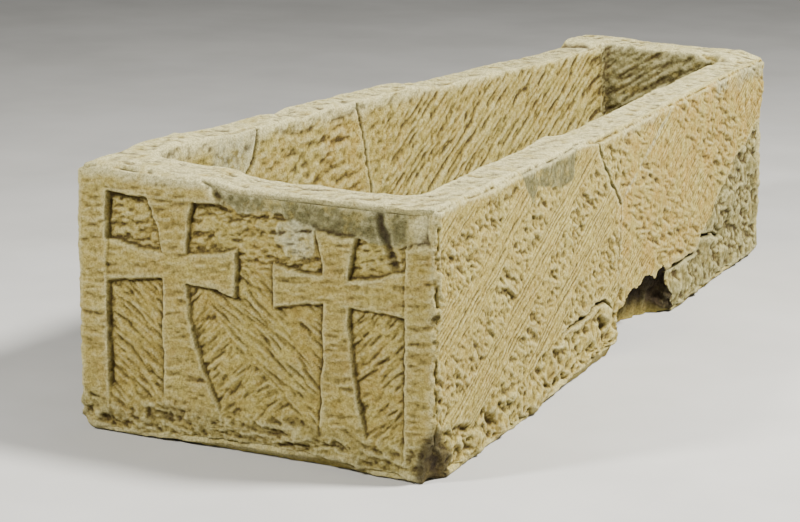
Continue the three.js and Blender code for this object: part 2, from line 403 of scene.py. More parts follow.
def grid_normals(grid):
    """Outward unit normals of a grid whose columns close on themselves."""
    across = np.roll(grid, -1, axis=1) - np.roll(grid, 1, axis=1)
    up = np.gradient(grid, axis=0)
    normal = np.cross(across, up)
    return normal / np.maximum(np.linalg.norm(normal, axis=-1, keepdims=True), 1e-9)


# --- The carved head end ----------------------------------------------
def arm(out, across, reach, middle, half):
    """How far inside one flared arm a point is: out along it and across it, from where the arms meet."""
    share = np.clip(out / reach, 0, 1) ** 2.1
    inside = lerp(NECK, half, share) - np.abs(across - middle * share)
    return np.minimum(inside, np.minimum(reach - out, out + NECK))


def cross(x, z, at_x, at_z, top, right, foot, left):
    """How far inside a cross a point is. An arm is its reach, its end's shift and its half width."""
    arms = [
        arm(z - at_z, x - at_x, *top),
        arm(x - at_x, z - at_z, *right),
        arm(at_z - z, x - at_x, *foot),
        arm(at_x - x, z - at_z, *left),
    ]
    return np.maximum.reduce(arms)


def left_cross(x, z):
    return cross(x, z, -165, 338, (128, -11, 52), (132, 3, 46), (300, 43, 74), (150, 0, 41))


def right_cross(x, z):
    return cross(x, z, 174, 332, (128, 1, 49), (142, 12, 44), (296, 17, 54), (129, -4, 42))


def scar_edge(x):
    """Height above which the frame's top bar is broken away, from the left end of the scar to the corner."""
    return profile(x, [
        (-122, 520), (-88, 496), (-66, 466), (-19, 457), (27, 458), (105, 438), (200, 431), (313, 427),
        (381, 440),
    ])


def head_relief(x, z):
    """Depth of the head end's carving, and how much of a point is scar and how much stands up."""
    spot = plane(x, z)
    wander_x = x + 2.4 * noise(spot, 26, 11) + 1.4 * noise(spot, 10, 12)
    wander_z = z + 2.4 * noise(spot, 26, 13) + 1.4 * noise(spot, 10, 14)
    frame_in = np.maximum(FRAME_LEFT - wander_x, wander_x - FRAME_RIGHT)
    frame_in = np.maximum(frame_in, np.where(x < -60, wander_z - FRAME_TOP, -50))
    crosses = np.maximum(left_cross(wander_x, wander_z), right_cross(wander_x, wander_z))
    on_frame = smooth(frame_in, -RELIEF_EDGE, RELIEF_EDGE)
    on_cross = smooth(crosses, -RELIEF_EDGE, RELIEF_EDGE)
    above = z + 10 * noise(spot, 30, 15) + 4 * noise(spot, 9, 17) - scar_edge(x)
    scar = smooth(above, -3, lerp(24, 4, smooth(x, -90, -40)))
    scar = scar * smooth(x, -124, -100) * (1 - smooth(x, 352, 374))
    bottom = smooth(z + 14 * noise(spot, 40, 16), 56, 104)
    field = (1 - on_frame) * (1 - on_cross)
    depth = -FIELD_SINK * field * lerp(0.2, 1, bottom)
    depth = depth - CROSS_SINK * on_cross * (1 - on_frame)
    depth = lerp(depth, -FIELD_SINK + 1 - 5 * smooth(z, 468, 512), scar)
    return depth, scar, np.maximum(on_frame, on_cross)


def head_strokes(x, z, raised):
    """Dressing of the head end: slanting marks on the field, near-level ones on what stands up."""
    spot = plane(x, z)
    falling = 0.8 * pecks(x, z, -38, 70, 12, 21) + 0.5 * ragged(x, z, -38, 3.5, 13, 27)
    rising = 0.7 * pecks(x, z, 44, 48, 13, 22) + 0.5 * ragged(x, z, 42, 3, 13, 28)
    pecked = 0.6 * pecks(x, z, 10, 24, 12, 23) + 0.6 * ragged(x, z, 8, 2.2, 13, 29)
    level = 0.5 * pecks(x, z, 8, 62, 21, 24) + 0.3 * ragged(x, z, 6, 3.5, 14, 26)
    seam = x + 0.9 * (z - 250) + 34 * noise(spot, 90, 25)
    right_of_seam = smooth(seam, -80, -55) * (1 - smooth(x, 140, 160))
    left_field = 1 - smooth(x, -190, -170)
    low = 1 - smooth(z + 24 * noise(spot, 70, 26), 330, 380)
    field = lerp(rising, falling, np.maximum(right_of_seam, left_field))
    field = lerp(pecked, field, low)
    return lerp(field, level, raised)


# --- The sides --------------------------------------------------------
SPALL_EDGE = [
    (1300, 112), (1355, 106), (1454, 103), (1520, 106), (1564, 136), (1630, 167), (1696, 200), (1784, 250),
    (1850, 276), (1949, 308), (2000, 330), (2070, 338),
]
BAND_EDGE = [(0, 96), (60, 92), (180, 72), (440, 96), (640, 116), (850, 134), (985, 138)]
MORTAR_EDGE = [
    (392, 520), (404, 492), (419, 465), (468, 424), (486, 458), (509, 449), (558, 440), (614, 429),
    (682, 431), (704, 500),
]
WIDE_CRACK = [(822, 512), (834, 466), (866, 428), (912, 392), (984, 322)]
HAIR_CRACK = [(984, 322), (978, 270), (984, 220), (974, 140)]
SEAM = [(984, 326), (1040, 356), (1090, 374), (1150, 408), (1190, 420), (1250, 446), (1322, 482)]
BASE_CRACK = [
    (1322, 108), (1360, 106), (1454, 103), (1520, 107), (1564, 138), (1600, 128), (1680, 121), (1750, 96),
]
BAND_CRACK = [(640, 122), (700, 130), (780, 128), (830, 140), (893, 136), (935, 108), (975, 84)]


def mortar_patch(distance, z):
    """The V-shaped patches of mortar under the right rim."""
    wander = 4 * noise(plane(distance, z), 20, 31)
    return smooth(z + wander - bent(distance, MORTAR_EDGE), -3, 3)


def split_corner(distance, z):
    """How much of a point is the split-off lower corner towards the foot, and the depth there."""
    spot = plane(distance, z)
    edge = bent(distance, SPALL_EDGE) + 9 * noise(spot, 34, 51) + 3 * noise(spot, 12, 50)
    share = smooth(edge - z, -2.5, 2.5) * smooth(distance, 1296, 1330)
    depth = -SPALL_SINK * smooth(z, -20, 120) + 9 * fractal(spot, 74, 4, 57)
    return share, depth + 6 * ragged(distance, z, -18, 1.8, 22, 64)


def splintered_band(distance, z):
    """How much of a point is the splintered band along the ground, and the depth there."""
    spot = plane(distance, z)
    edge = bent(distance, BAND_EDGE) + 16 * noise(spot, 60, 52)
    share = smooth(edge - z, -7, 12) * (1 - smooth(distance, 1000, 1030))
    depth = 10 * fractal(spot, 58, 3, 56) + 8 * ragged(distance, z, -32, 2, 24, 53)
    return share, depth + 4 * pits(distance, z, 26, 55, 0.4) - 2


def right_cracks(distance, z):
    """How much of a point of the right side is crack."""
    spot = plane(distance, z)
    wide = smooth(to_line(distance, z, WIDE_CRACK) + 1.6 * noise(spot, 14, 60), 4.6, 0.6)
    hair = smooth(to_line(distance, z, HAIR_CRACK) + 2.2 * noise(spot, 16, 61), 3.6, 0.2)
    base = smooth(to_line(distance, z, BASE_CRACK) + 2.6 * noise(spot, 15, 62), 6, 0.8)
    band = smooth(to_line(distance, z, BAND_CRACK) + 3 * noise(spot, 16, 63), 6, 0.8)
    return np.maximum.reduce([wide, 0.35 * hair, base, 0.8 * band])


def right_mends(distance, z):
    """How much of a point is the pale seam, the mended stone under the rim and the pale wedge."""
    spot = plane(distance, z)
    seam = smooth(to_line(distance, z, SEAM) + 3 * noise(spot, 22, 66), 7, 2)
    upper = smooth(z + 16 * noise(spot, 60, 67), 440, 462)
    mended = upper * smooth(noise(plane(distance, z * 0.5), 105, 68), -0.05, 0.35)
    mended = mended * smooth(distance, 1340, 1400)
    wedge = smooth(z + 14 * noise(spot, 50, 69), 452, 476)
    wedge = wedge * smooth(distance, 960, 985) * (1 - smooth(distance, 1215, 1235))
    return seam, mended, wedge


def right_dressing(distance, z):
    """Bands of long furrows that rise to the right, between rows of pecked marks that fall to the right."""
    spot = plane(distance, z)
    fine = 0.8 * furrows(distance, z, 26, 10, 41) + 0.35 * ragged(distance, z, 26, 4, 11, 49)
    pecked = 0.55 * pecks(distance, z, -27, 30, 13, 42) + 0.8 * ragged(distance, z, -30, 2.2, 15, 47)
    combed = 0.6 * pecks(distance, z, -20, 62, 13, 43) + 0.7 * ragged(distance, z, -20, 3.5, 14, 48)
    across = turned(distance, z, 26)[1] + 46 * noise(spot, 190, 45)
    rising = smooth(np.sin(across / 27), -0.25, 0.45)
    near = lerp(1.3 * pecked, 0.8 * fine + 0.25 * pecked, rising)
    far = lerp(combed, 0.5 * fine + 0.4 * pecked, smooth(np.sin(distance / 95 + z / 60), 0.1, 0.8))
    return lerp(near, far, smooth(distance + 26 * noise(spot, 120, 46), 962, 990))


def plain_dressing(distance, z, seed):
    """Dressing of a side that is plainer: slanting marks in broad bands."""
    band = distance + 1.1 * z + 50 * noise(plane(distance, z), 230, seed)
    rising = 0.7 * furrows(distance, z, 27, 13, seed + 1)
    rising = rising + 0.4 * ragged(distance, z, 27, 3, 14, seed + 3)
    falling = 0.6 * pecks(distance, z, -26, 42, 15, seed + 2)
    falling = falling + 0.6 * ragged(distance, z, -26, 2.5, 16, seed + 4)
    return lerp(falling, rising, smooth(np.sin(band / 90), -0.3, 0.3))


def right_side(distance, z, marks):
    """Depth of the right side's dressing and breaks. marks gathers what colours the stone."""
    spot = plane(distance, z)
    spall, spall_depth = split_corner(distance, z)
    band, band_depth = splintered_band(distance, z)
    patch = mortar_patch(distance, z)
    worn = smooth(z, 462, 494)
    cracks = right_cracks(distance, z)
    seam, mended, wedge = right_mends(distance, z)
    cut = right_dressing(distance, z)
    depth = RIGHT_CUT * cut * (1 - patch) * (1 - 0.75 * worn) * (1 - spall) * (1 - band)
    mortar_depth = -1.5 + 0.8 * noise(spot, 30, 58)
    depth = depth + band * band_depth + spall * spall_depth + patch * mortar_depth
    corner = 1 - smooth(distance, 4, 34)
    depth = depth + corner * 5 * pits(distance, z, 24, 59, 0.8) * smooth(z, 60, 120)
    towards_foot = smooth(distance + 60 * noise(spot, 90, 70), 950, 1010)
    # The cracks are painted near-black: painted shade inside them.
    marks["crevice_shade"] = 0.95 * cracks
    marks["grey"] = np.maximum.reduce([patch, 0.8 * spall, 0.6 * mended])
    marks["stain"] = (0.25 + 0.75 * towards_foot) * (1 - spall) * (1 - patch)
    marks["lit"] = np.maximum.reduce([0.75 * seam, 0.7 * mended, 0.5 * wedge])
    return depth - CRACK_DEPTH * cracks


# --- Moving the grid's points -----------------------------------------
def scooped(points, middle, size, power=2.0, rough=0.0, seed=0):
    """Pushes points inside a lump out to its surface, which leaves the hollow of its break."""
    way = (points - middle) / size
    reach = np.sum(np.abs(way) ** power, axis=-1) ** (1 / power)
    surface = middle + (points - middle) / np.maximum(reach, 0.05)[..., None]
    wanted = 1 + rough * fractal(surface, 38, 4, seed)
    push = np.maximum(wanted / np.maximum(reach, 0.05), 1)
    return middle + (points - middle) * push[..., None], push > 1.001


def right_face(y):
    return middle_x(y) + half_width(y)


def left_face(y):
    return middle_x(y) - half_width(y)


def broken_gap(points):
    """The gap in the foot of the right wall: square at the near end, and sloping out at the far end."""
    distance = points[..., 1] - HEAD_Y
    fade = 1 - 0.85 * smooth(distance, 1110, 1390)
    shifted = points.copy()
    slope = 0.35 * np.clip(points[..., 2], 0, 130) * smooth(distance, 1200, 1330)
    shifted[..., 1] = shifted[..., 1] + slope
    same = np.ones(distance.shape)
    out = right_face(points[..., 1]) + GAP_OUT
    middle = np.stack([out, (HEAD_Y + GAP_ALONG) * same, GAP_UP * same], -1)
    size = np.stack([GAP_OUT + GAP_DEPTH * fade, GAP_HALF_LENGTH * same, GAP_HALF_HEIGHT * same], -1)
    moved, inside = scooped(shifted, middle, size, 6.0, 0.05, 71)
    unshifted = moved[..., 1] - (shifted[..., 1] - points[..., 1])
    moved[..., 1] = np.where(inside, unshifted, points[..., 1])
    return np.where(inside[..., None], moved, points), inside


def bites():
    """Lumps broken out of the edges: middle, size and roughness."""
    notch = HEAD_Y + 640
    foot_edge = HEAD_Y + 2062
    low_left = HEAD_Y + 1760
    return [
        # the head end's corners and foot
        ((390, HEAD_Y, -6), (42, 74, 94), 0.06),
        ((-398, HEAD_Y, -14), (46, 42, 52), 0.08),
        ((-404, HEAD_Y - 12, 528), (52, 44, 42), 0.05),
        ((0, HEAD_Y - 8, -9), (210, 22, 22), 0.10),
        # the left side's rim and foot, and the foot end
        ((left_face(notch), notch, 528), (150, 15, 22), 0.05),
        ((left_face(low_left) - 14, low_left, -8), (34, 190, 30), 0.10),
        ((right_face(foot_edge) + 20, foot_edge, 350), (34, 46, 42), 0.08),
        ((-60, FOOT_Y + 10, 2), (120, 26, 30), 0.10),
        # pits up the head end's right corner, then up its left corner
        ((391, HEAD_Y - 8, 404), (20, 22, 54), 0.25),
        ((391, HEAD_Y - 8, 303), (26, 27, 17), 0.25),
        ((391, HEAD_Y - 8, 264), (24, 25, 24), 0.25),
        ((393, HEAD_Y - 10, 196), (22, 23, 22), 0.25),
        ((-392, HEAD_Y - 10, 330), (20, 20, 30), 0.3),
        ((-392, HEAD_Y - 10, 205), (20, 20, 24), 0.3),
        ((-393, HEAD_Y - 10, 118), (22, 22, 34), 0.3),
    ]


def base_lift(points):
    """How far the worn lower edges stand off the ground."""
    distance = points[..., 1] - HEAD_Y
    right = profile(distance, [
        (0, 0), (120, 2), (480, 1), (620, 11), (900, 22), (1010, 26), (1380, 3), (2066, 4),
    ])
    head = profile(points[..., 0], [
        (-381, 4), (-300, 1), (-160, 6), (-40, 13), (150, 15), (260, 3), (381, 2),
    ])
    left = 5 + 4 * np.sin(distance / 170)
    on_head = 1 - smooth(distance, 2, 40)
    return lerp(np.where(points[..., 0] > 0, right, left), head, on_head)


def no_marks(grid):
    return {name: np.zeros(grid.shape[:2]) for name in MARKS}


def grainy(grid, seed):
    """Unevenness of all sizes, from slow waves of the whole face to single knots of grain."""
    depth = 0.0
    for index, (height, size) in enumerate(((2.2, 150), (1.5, 52), (1.0, 21), (0.9, 11), (0.5, 6.5))):
        depth = depth + height * noise(grid, size, seed + index)
    return depth


def head_end(x, z, marks):
    """Depth of the head end's carving, dressing and wear."""
    spot = plane(x, z)
    carved, scar, raised = head_relief(x, z)
    low = 1 - smooth(z + 18 * noise(spot, 44, 5), 50, 96)
    worn = smooth(z, HEIGHT - 40, HEIGHT - 14)
    cut = head_strokes(x, z, raised) * (1 - scar) * (1 - low) * (1 - 0.8 * worn)
    rough = 7 * fractal(spot, 44, 4, 6) + 4.5 * ragged(x, z, -12, 1.8, 20, 10)
    rough = rough + 3 * pits(x, z, 30, 7, 0.3)
    groove = smooth(to_line(x, z, GROOVE) + 3 * noise(spot, 20, 18), 15, 1)
    groove = groove * smooth(x + 0.3 * z, 384, 392)
    from_mortar = np.hypot((x - MORTAR_AT[0]) / MORTAR_SIZE[0], (z - MORTAR_AT[1]) / MORTAR_SIZE[1])
    mortar = smooth(from_mortar + 0.35 * noise(spot, 26, 19), 1.05, 0.85)
    streak = smooth(to_line(x, z, STREAK) + 5 * noise(spot, 16, 20), 9, 3)
    depth = carved + HEAD_CUT * cut + low * (rough - 2) - GROOVE_DEPTH * groove
    depth = depth + scar * 2.4 * fractal(spot, 34, 3, 8)
    # The groove is painted dark: painted shade in its valley.
    marks["crevice_shade"] = 0.55 * groove
    marks["grey"] = np.maximum(scar * (1 - smooth(x, 306, 330)), 0.35 * low)
    marks["stain"] = 0.25 * (1 - scar)
    marks["lit"] = np.maximum(0.85 * mortar, 0.7 * streak)
    marks["pale"] = scar * smooth(x, 306, 330) + 0.08 * raised * (1 - scar)
    return depth + 2 * mortar


def dressed_outside(grid):
    """The outer face and its upper edge, dressed and carved: the points and what colours them."""
    normal = grid_normals(grid)
    x, y, z = np.moveaxis(grid, -1, 0)
    distance = y - HEAD_Y
    marks = no_marks(grid)
    depth = grainy(grid, 1)
    faces = [
        (-normal[..., 1], lambda across, along, up, found: head_end(across, up, found)),
        (normal[..., 0], lambda across, along, up, found: right_side(along, up, found)),
        (-normal[..., 0], lambda across, along, up, found: plain_side(along, up, 81, found)),
        (normal[..., 1], lambda across, along, up, found: plain_side(across, up, 91, found)),
    ]
    for facing, made in faces:
        part = smooth(facing, 0.62, 0.8)
        chosen = part > 0
        found = {}
        depth[chosen] += part[chosen] * made(x[chosen], distance[chosen], z[chosen], found)
        for name, value in found.items():
            marks[name][chosen] += value * part[chosen]
    corner = 1 - np.max(np.abs(normal), axis=-1)
    chipped = smooth(corner, 0.01, 0.16)
    depth = depth - chipped * (1 + 8 * np.clip(fractal(grid, 34, 3, 9) + 0.15, 0, 1))
    # Paler towards the rim: partly wear, partly a painted highlight where the light from above falls.
    near_rim = smooth(z + 7 * noise(grid, 24, 30), HEIGHT - 30, HEIGHT - 8)
    marks["pale"] = np.maximum(marks["pale"], near_rim)
    points = grid + normal * depth[..., None]
    points[..., 2] = points[..., 2] + base_lift(grid) * (1 - smooth(z, 0, 70))
    return points, marks


def plain_side(a, z, seed, marks):
    """Depth of the dressing on the sides that are plainer: a along the side, z up it."""
    spot = plane(a, z)
    worn = smooth(z, HEIGHT - 44, HEIGHT - 16)
    low = 1 - smooth(z + 30 * noise(spot, 90, seed + 5), 40, 110)
    rough = 8 * fractal(spot, 52, 4, seed + 6) + 5 * ragged(a, z, -15, 1.8, 22, seed + 7)
    marks["grey"] = 0.3 * low
    marks["stain"] = 0.6 * smooth(noise(spot, 330, seed + 8), 0, 0.5)
    return PLAIN_CUT * plain_dressing(a, z, seed) * (1 - low) * (1 - 0.7 * worn) + low * rough


def dressed_rim(grid):
    """The worn rim: lumps and shallow splintered dents."""
    marks = no_marks(grid)
    x, y, _ = np.moveaxis(grid, -1, 0)
    depth = 3 * noise(grid, 62, 101) + 2.4 * fractal(grid, 27, 4, 102)
    depth = depth + 1.8 * ragged(x, y, 20, 2, 16, 106)
    points = grid.copy()
    points[..., 2] = points[..., 2] + depth
    # The whole rim is painted pale: partly its wear, partly a painted highlight where the light from above
    # falls on it.
    marks["pale"][:] = 1
    return points, marks


INNER_BREAK = [(470, 512), (455, 455), (400, 410), (370, 360)]
INNER_CRACK = [(838, 512), (850, 470), (862, 420), (880, 330), (884, 250)]
INNER_PATCH_EDGE = [(330, 380), (420, 410), (470, 455), (512, 470)]  # height, then distance


def dressed_chamber(grid):
    """The chamber's walls: combed marks, two cracks and a paler patch on the left wall."""
    normal = grid_normals(grid)
    x, y, z = np.moveaxis(grid, -1, 0)
    distance = y - HEAD_Y
    marks = no_marks(grid)
    on_side = smooth(np.abs(normal[..., 0]), 0.5, 0.8)
    a = lerp(x, distance, on_side)
    spot = plane(a, z)
    rising = 0.5 * furrows(a, z, 32, 14, 111) + 0.6 * ragged(a, z, 32, 3.5, 15, 119)
    level = 0.5 * pecks(a, z, 5, 58, 17, 112) + 0.6 * ragged(a, z, 5, 3, 16, 121)
    cut = lerp(level, rising, smooth(distance + 70 * noise(spot, 160, 113), 820, 1000))
    depth = grainy(grid, 114) + CHAMBER_CUT * cut
    left = smooth(normal[..., 0], 0.5, 0.8)
    opened = smooth(to_line(distance, z, INNER_BREAK) + noise(spot, 16, 117), 7, 1)
    crack = smooth(to_line(distance, z, INNER_CRACK) + noise(spot, 16, 118), 4.5, 0.6)
    cracks = left * np.maximum(opened, 0.6 * crack)
    edge = bent(z, INNER_PATCH_EDGE)
    patch = left * smooth(edge - distance, 0, 10) * smooth(distance, edge - 165, edge - 120)
    patch = patch * smooth(z, 330, 370)
    depth = depth - CHAMBER_CRACK_DEPTH * cracks + patch * (2 - 3.2 * cut)
    # The chamber's cracks are painted dark: painted shade inside them.
    marks["crevice_shade"] = 0.85 * cracks
    marks["grey"] = np.maximum(0.5 * patch, 0.85 * smooth(-normal[..., 1], 0.5, 0.8))
    marks["stain"] = 0.7 * left * smooth(distance, 690, 730) * (1 - smooth(distance, 840, 880))
    marks["lit"] = 0.8 * patch
    # Paler towards the rim: partly wear, partly a painted highlight where the light from above falls.
    marks["pale"] = smooth(z + 6 * noise(grid, 24, 120), HEIGHT - 34, HEIGHT - 6)
    return grid + normal * depth[..., None], marks


def broken(points, marks):
    """Breaks the gap and the chipped corners out of a grid."""
    points, gap = broken_gap(points)
    for middle, size, rough in bites():
        middle = np.array(middle, dtype=float)
        points, hit = scooped(points, middle, np.array(size, dtype=float), 2.0, rough, 72)
        marks["lit"] = np.where(hit, 0.0, marks["lit"])
        # Pits high up the head end's right corner get a dark brown patina.
        on_corner = middle[0] > 300 and middle[2] > 100
        marks["brown"] = np.maximum(marks["brown"], hit * (0.6 if on_corner else 0.0))
    # Inside the gap: dark brown painted shade, where the light from above does not reach.
    marks["brown"] = np.maximum(marks["brown"], gap)
    # The gap is painted darker towards its top: painted shadow under its overhanging edge.
    marks["crevice_shade"] = np.maximum(marks["crevice_shade"], 0.9 * gap * smooth(points[..., 2], 30, 105))
    # The low broken corner at the head end's right: dark brown painted shade in its recess.
    low_corner = np.linalg.norm((points - [392, HEAD_Y, 20]) / [60, 90, 95], axis=-1)
    marks["brown"] = np.maximum(marks["brown"], 0.9 * smooth(low_corner, 1.05, 0.8))
    return points, marks


def averaged(grid, reach):
    """Each point's mean with its neighbours, reach of them each way."""
    total = grid.copy()
    for step in range(1, reach + 1):
        total = total + np.roll(grid, step, axis=1) + np.roll(grid, -step, axis=1)
    across = total / (2 * reach + 1)
    padded = np.concatenate([across[:1]] * reach + [across] + [across[-1:]] * reach)
    rows_summed = sum(padded[step : step + len(grid)] for step in range(2 * reach + 1))
    return rows_summed / (2 * reach + 1)


def add_relief_marks(grid, marks):
    """Marks what lies in a hollow, for painted shade there, and what stands up, which is painted paler."""
    for reach, share in ((2, 0.6), (5, 0.4)):
        above = np.sum((averaged(grid, reach) - grid) * grid_normals(grid), axis=-1)
        scale = 0.45 * reach
        marks["hollow"] = marks["hollow"] + share * np.clip(above / scale, 0, 1)
        marks["crest"] = marks["crest"] + share * np.clip(-above / scale, 0, 1)


# --- Meshes -----------------------------------------------------------
def inside_ring(x, y, ring):
    """Which points lie inside a closed ring."""
    inside = np.zeros(x.shape, bool)
    for (x0, y0), (x1, y1) in zip(ring[:, :2], np.roll(ring[:, :2], -1, axis=0)):
        crosses = (y0 > y) != (y1 > y)
        if crosses.any():
            at = x0 + (y - y0) * (x1 - x0) / ((y1 - y0) or 1e-9)
            inside ^= crosses & (x < at)
    return inside


def cap(ring, step, height, seed):
    """Fills a ring of points with triangles. height(points) gives the inside points' heights."""
    low = ring.min(axis=0)
    high = ring.max(axis=0)
    xs = np.arange(low[0] + step, high[0], step * COARSER)
    ys = np.arange(low[1] + step, high[1], step * COARSER)
    x, y = (values.ravel() for values in np.meshgrid(xs, ys))
    x = x + step * 0.5 * (hashed(x, y, seed) - 0.5)
    y = y + step * 0.5 * (hashed(x, y, seed + 1) - 0.5)
    keep = inside_ring(x, y, ring)
    for corner in ring[::2]:
        keep &= (x - corner[0]) ** 2 + (y - corner[1]) ** 2 > (0.6 * step) ** 2
    count = len(ring)
    flat = [Vector(point[:2]) for point in ring] + [Vector(pair) for pair in zip(x[keep], y[keep])]
    edges = [(index, (index + 1) % count) for index in range(count)]
    made = delaunay_2d_cdt(flat, edges, [], 1, 1e-4)
    vertices = np.array([(v.x, v.y) for v in made[0]])
    if len(vertices) != len(flat):
        raise RuntimeError("the cap gained or lost points")
    points = np.column_stack([vertices, np.zeros(len(vertices))])
    points[:count] = ring
    points[count:, 2] = height(points[count:])
    return points, np.array(made[2])


def quads_of(grid):
    """The quads of a grid whose columns close on themselves, as corner indices."""
    index = np.arange(grid.shape[0] * grid.shape[1]).reshape(grid.shape[:2])
    after = np.roll(index, -1, axis=1)
    return np.stack([index[:-1], after[:-1], after[1:], index[1:]], axis=-1)


def vertex_normals(points, faces):
    total = np.zeros_like(points)
    for face in faces:
        corners = [points[face[:, corner]] for corner in range(face.shape[1])]
        spread = np.cross(corners[2] - corners[0], corners[-1] - corners[1])
        if len(corners) == 3:
            spread = np.cross(corners[1] - corners[0], corners[2] - corners[0])
        for corner in range(face.shape[1]):
            for axis in range(3):
                total[:, axis] += np.bincount(face[:, corner], spread[:, axis], len(points))
    return total / np.maximum(np.linalg.norm(total, axis=1, keepdims=True), 1e-12)


def piece(name, points, normals, marks, faces, material):
    """One visible piece of the surface, made of some of its faces."""
    used, renumbered = np.unique(faces, return_inverse=True)
    renumbered = renumbered.reshape(faces.shape)
    size = faces.shape[1]
    mesh = bpy.data.meshes.new(name)
    mesh.vertices.add(len(used))
    mesh.vertices.foreach_set("co", (points[used] * METRE).ravel())
    mesh.loops.add(renumbered.size)
    mesh.loops.foreach_set("vertex_index", renumbered.ravel().astype(np.int32))
    mesh.polygons.add(len(faces))
    mesh.polygons.foreach_set("loop_start", np.arange(0, renumbered.size, size, dtype=np.int32))
    mesh.update(calc_edges=True)
    mesh.shade_smooth()
    for mark in MARKS:
        layer = mesh.attributes.new(mark, "FLOAT", "POINT")
        layer.data.foreach_set("value", marks[mark][used].astype(np.float32))
    mesh.normals_split_custom_set_from_vertices(normals[used].tolist())
    mesh.materials.append(material)
    made = bpy.data.objects.new(name, mesh)
    bpy.context.scene.collection.objects.link(made)
    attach(made, "root")
    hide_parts(NODE)
    return made


def evened(grid, meeting_rows):
    """The grid with its points evened out at the rows where two height fields meet."""
    before = grid.copy()
    for meeting in meeting_rows:
        for row in range(meeting - 2, meeting + 2):
            grid[row] = (before[row - 1] + 2 * before[row] + before[row + 1]) / 4
    return grid


def underside_height(points):
    return np.maximum(1.5 + 1.2 * fractal(points, 60, 2, 121), 0)


def floor_height(points):
    return FLOOR + 2 + 3 * fractal(points, 90, 3, 122)


def closed(grid):
    """The points of the walls, the underside and the floor, and the faces of the last two."""
    under_points, under_faces = cap(grid[0], CAP_STEP, underside_height, 131)
    floor_points, floor_faces = cap(grid[-1], CAP_STEP, floor_height, 132)
    ring = grid.shape[1]
    walls = grid.reshape(-1, 3)
    points = np.concatenate([walls, under_points[ring:], floor_points[ring:]])
    under_shift = len(walls) - ring
    floor_shift = under_shift + len(under_points) - ring
    under_faces = np.where(under_faces < ring, under_faces, under_faces + under_shift)[:, ::-1]
    floor_faces = floor_faces + np.where(floor_faces < ring, under_shift, floor_shift)
    return points, under_faces, floor_faces


def wall_pieces(quads, rim_top, rim_end):
    """The faces of each piece of the walls by name, from the rows where the rim starts and ends."""
    outer = quads[: rim_top - 1]
    top = quads[rim_top - 1 : rim_end]
    walls = quads[rim_end:]
    near = np.full(len(SIDE), True)
    near[SIDE == RIGHT] = OUTER.run[SIDE == RIGHT] < NEAR_HALF * LENGTH

    def on(block, *sides, where=True):
        return block[:, np.isin(SIDE, sides) & where].reshape(-1, 4)

    return {
        "stone_head_end": on(outer, HEAD),
        "stone_right_side_head_half": on(outer, RIGHT, where=near),
        "stone_right_side_foot_half": on(outer, RIGHT, where=~near),
        "stone_foot_end": on(outer, FOOT),
        "stone_left_side": on(outer, LEFT),
        "stone_rim": on(top, HEAD, RIGHT, FOOT, LEFT),
        "chamber_right_wall": on(walls, HEAD, RIGHT),
        "chamber_left_wall": on(walls, FOOT, LEFT),
    }


def stone_surface():
    """The whole surface: points, normals, marks, and the faces of each piece by name."""
    outside = outer_rows()
    inside = inner_rows()
    between = rim_rows(outside[-1], inside[0])
    made = [dressed_outside(outside), dressed_rim(between), dressed_chamber(inside)]
    marks = {name: np.concatenate([part[1][name] for part in made]) for name in MARKS}
    rim_top = len(outside)
    rim_end = rim_top + len(between)
    grid = evened(np.concatenate([part[0] for part in made]), (rim_top - 1, rim_end))
    grid, marks = broken(grid, marks)
    grid[..., 2] = np.maximum(grid[..., 2], 0)
    add_relief_marks(grid, marks)
    points, under_faces, floor_faces = closed(grid)
    unmarked = np.zeros(len(points) - grid[..., 0].size)
    marks = {name: np.concatenate([value.ravel(), unmarked]) for name, value in marks.items()}
    pieces = wall_pieces(quads_of(grid), rim_top, rim_end)
    pieces["chamber_floor"] = floor_faces
    pieces["stone_underside"] = under_faces
    normals = vertex_normals(points, list(pieces.values()))
    return points, normals, marks, pieces


# --- Materials --------------------------------------------------------
class Nodes:
    """Short ways to add and link shader nodes."""

    def __init__(self, name):
        self.material = bpy.data.materials.new(name)
        self.material.use_nodes = True
        self.tree = self.material.node_tree
        self.shader = self.tree.nodes["Principled BSDF"]

    def add(self, kind, **values):
        node = self.tree.nodes.new(kind)
        for name, value in values.items():
            setattr(node, name, value)
        return node

    def link(self, source, target):
        self.tree.links.new(source, target)

    def attribute(self, name):
        return self.add("ShaderNodeAttribute", attribute_name=name).outputs["Fac"]

    def noise(self, scale, detail=4.0, rough=0.6, low=0.35, high=0.65):
        """Noise in the trough's own space, stretched so that low becomes 0 and high becomes 1."""
        place = self.add("ShaderNodeTexCoord").outputs["Object"]
        texture = self.add("ShaderNodeTexNoise")
        texture.inputs["Scale"].default_value = scale
        texture.inputs["Detail"].default_value = detail
        texture.inputs["Roughness"].default_value = rough
        self.link(place, texture.inputs["Vector"])
        return self.ranged(texture.outputs["Fac"], low, high)

    def ranged(self, source, low, high, to_low=0.0, to_high=1.0):
        node = self.add("ShaderNodeMapRange", clamp=True)
        for name, value in zip(("From Min", "From Max", "To Min", "To Max"), (low, high, to_low, to_high)):
            node.inputs[name].default_value = value
        self.link(source, node.inputs["Value"])
        return node.outputs["Result"]

    def math(self, operation, a, b):
        node = self.add("ShaderNodeMath", operation=operation)
        for socket, value in zip(node.inputs, (a, b)):
            if isinstance(value, (int, float)):
                socket.default_value = value
            else:
                self.link(value, socket)
        return node.outputs["Value"]

    def mix(self, share, a, b, blend="MIX"):
        node = self.add("ShaderNodeMix", data_type="RGBA", blend_type=blend)
        for socket, value in ((node.inputs[0], share), (node.inputs[6], a), (node.inputs[7], b)):
            if isinstance(value, (int, float)):
                socket.default_value = value
            elif isinstance(value, tuple):
                socket.default_value = (*value, 1.0)
            else:
                self.link(value, socket)
        return node.outputs[2]


